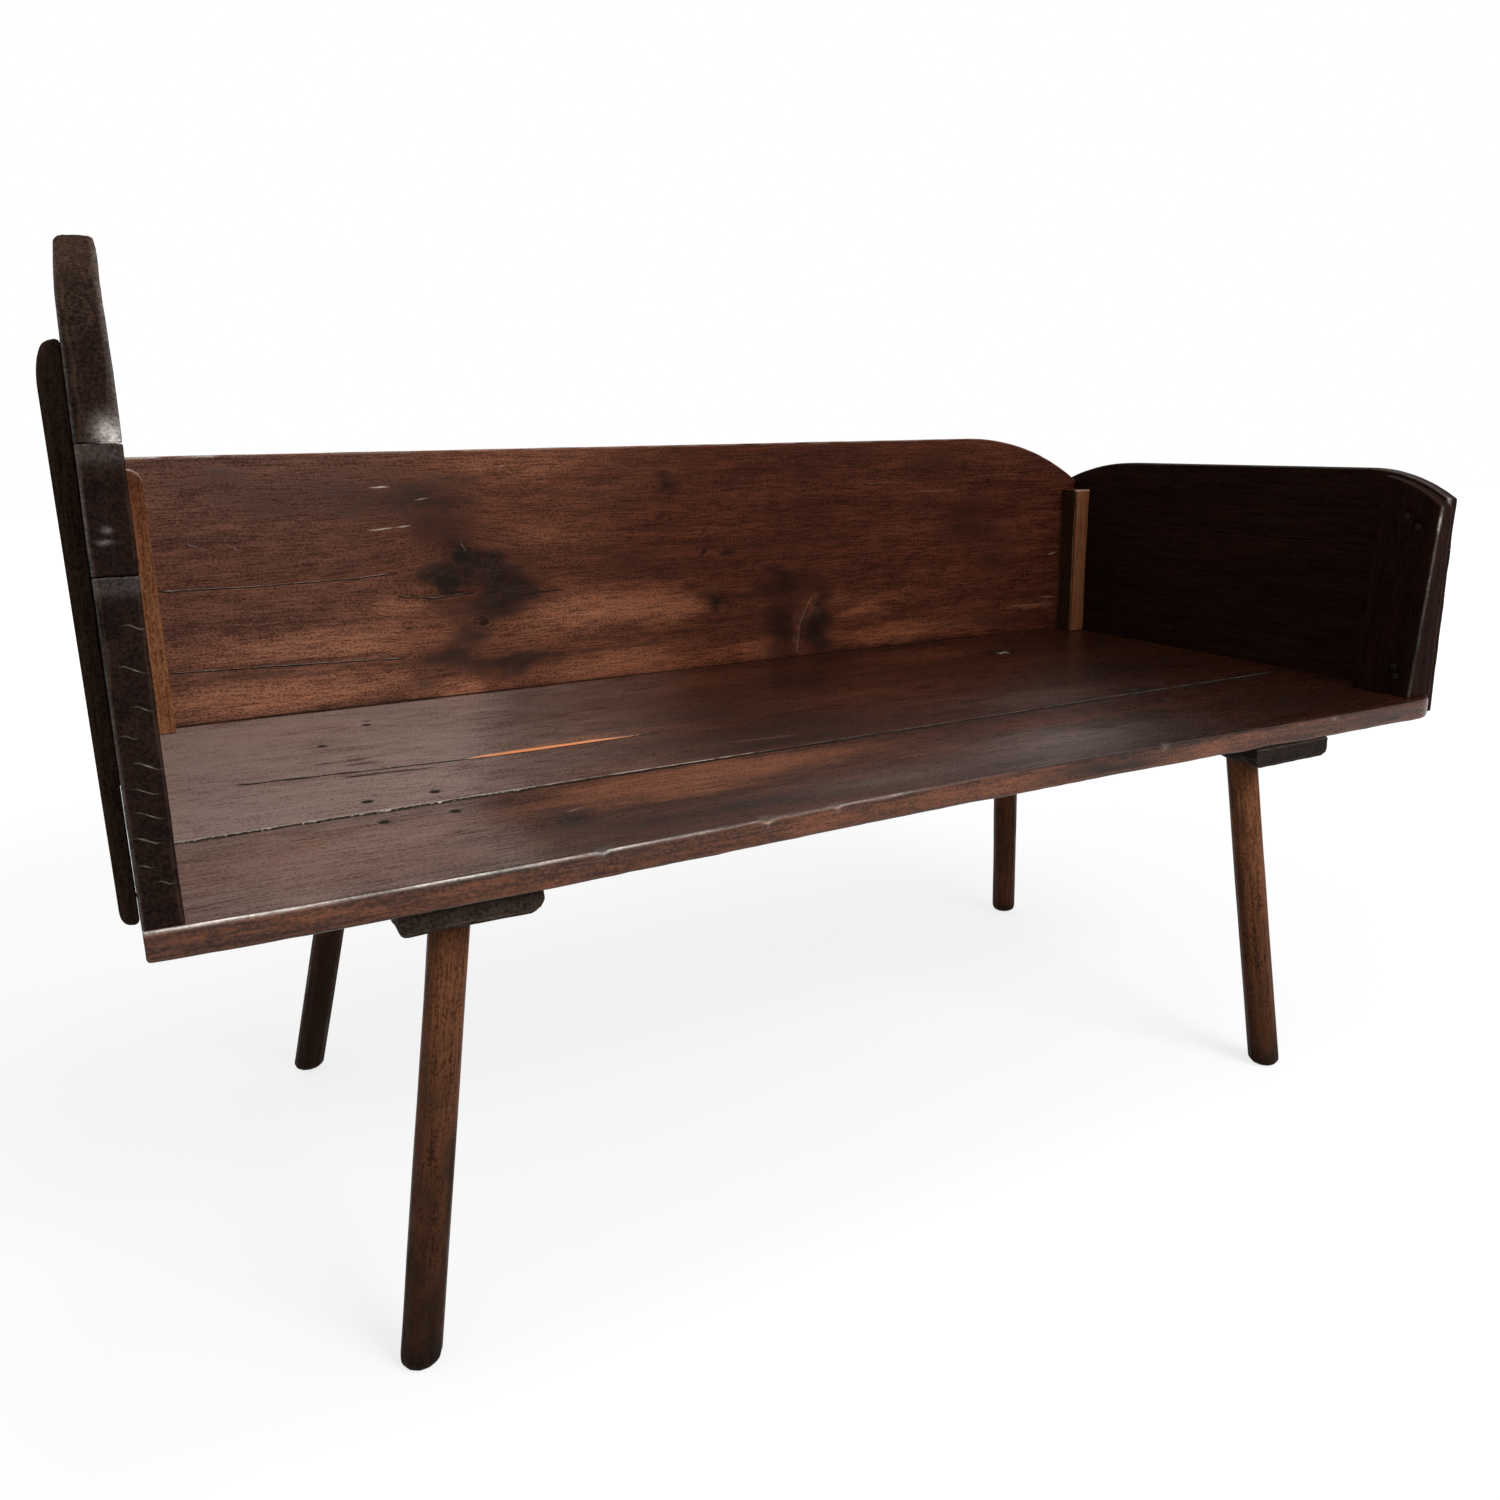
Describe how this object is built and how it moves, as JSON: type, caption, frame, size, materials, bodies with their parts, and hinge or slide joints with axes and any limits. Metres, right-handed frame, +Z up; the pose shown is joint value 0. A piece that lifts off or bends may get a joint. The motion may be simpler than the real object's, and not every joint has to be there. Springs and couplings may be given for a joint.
{
  "type": "church pew",
  "caption": "Primitive plank church pew: deep flat seat, wide plank back, a tall arched end and a low end, on splayed round stick legs, for people to sit on.",
  "frame": {"origin": "on the floor under the middle of the box round the pew", "axes": "+X along the seat from the tall end to the low end, +Y from the front edge to the back, +Z up"},
  "size_m": [1.5326, 0.7124, 0.9639],
  "materials": {
    "seat_wood": "worn semi-gloss varnish over dark red-brown pine, greyed where it is sat on",
    "back_wood": "semi-gloss varnish over red-brown knotty pine",
    "tall_end_wood": "very dark varnish, nicked end grain",
    "low_end_wood": "almost black varnish, red-brown where worn",
    "cleat_wood": "thin varnish over golden brown wood",
    "batten_wood": "dull dark stain on rough-sawn wood",
    "leg_wood": "satin varnish over brown shaved wood",
    "iron": "dark wrought iron nails, set just under the surface"
  },
  "bodies": {
    "root": {"back_board": "back_wood", "corner_cleat_low_end": "cleat_wood", "corner_cleat_tall_end": "cleat_wood", "leg_front_left": "leg_wood", "leg_front_right": "leg_wood", "leg_rear_left": "leg_wood", "leg_rear_right": "leg_wood", "leg_wedge_front_left": "cleat_wood", "leg_wedge_front_right": "cleat_wood", "leg_wedge_rear_left": "cleat_wood", "leg_wedge_rear_right": "cleat_wood", "low_end_front_cleat": "low_end_wood", "low_end_lower_board": "low_end_wood", "low_end_upper_board": "low_end_wood", "nail_back_cleat_low": "iron", "nail_back_cleat_tall": "iron", "nail_back_seat_left": "iron", "nail_back_seat_middle": "iron", "nail_back_seat_right": "iron", "nail_back_tall_lower": "iron", "nail_back_tall_middle": "iron", "nail_cleat_lower_1": "iron", "nail_cleat_lower_2": "iron", "nail_cleat_upper_1": "iron", "nail_cleat_upper_2": "iron", "nail_low_cleat_lower": "iron", "nail_low_cleat_upper": "iron", "nail_low_seat_front": "iron", "nail_low_seat_middle": "iron", "nail_low_seat_rear": "iron", "nail_seat_1": "iron", "nail_seat_10": "iron", "nail_seat_2": "iron", "nail_seat_3": "iron", "nail_seat_4": "iron", "nail_seat_5": "iron", "nail_seat_6": "iron", "nail_seat_7": "iron", "nail_seat_8": "iron", "nail_seat_9": "iron", "nail_tall_front_lower": "iron", "nail_tall_front_middle": "iron", "nail_tall_front_seat": "iron", "nail_tall_front_top": "iron", "nail_tall_rear_lower": "iron", "nail_tall_rear_middle": "iron", "nail_tall_rear_seat": "iron", "nail_tall_rear_top": "iron", "seat_batten_left": "batten_wood", "seat_batten_right": "batten_wood", "seat_front_plank": "seat_wood", "seat_rear_plank": "seat_wood", "tall_end_batten_front": "tall_end_wood", "tall_end_batten_rear": "tall_end_wood", "tall_end_lower_board": "tall_end_wood", "tall_end_middle_board": "tall_end_wood", "tall_end_top_board": "tall_end_wood"}
  },
  "joints": []
}
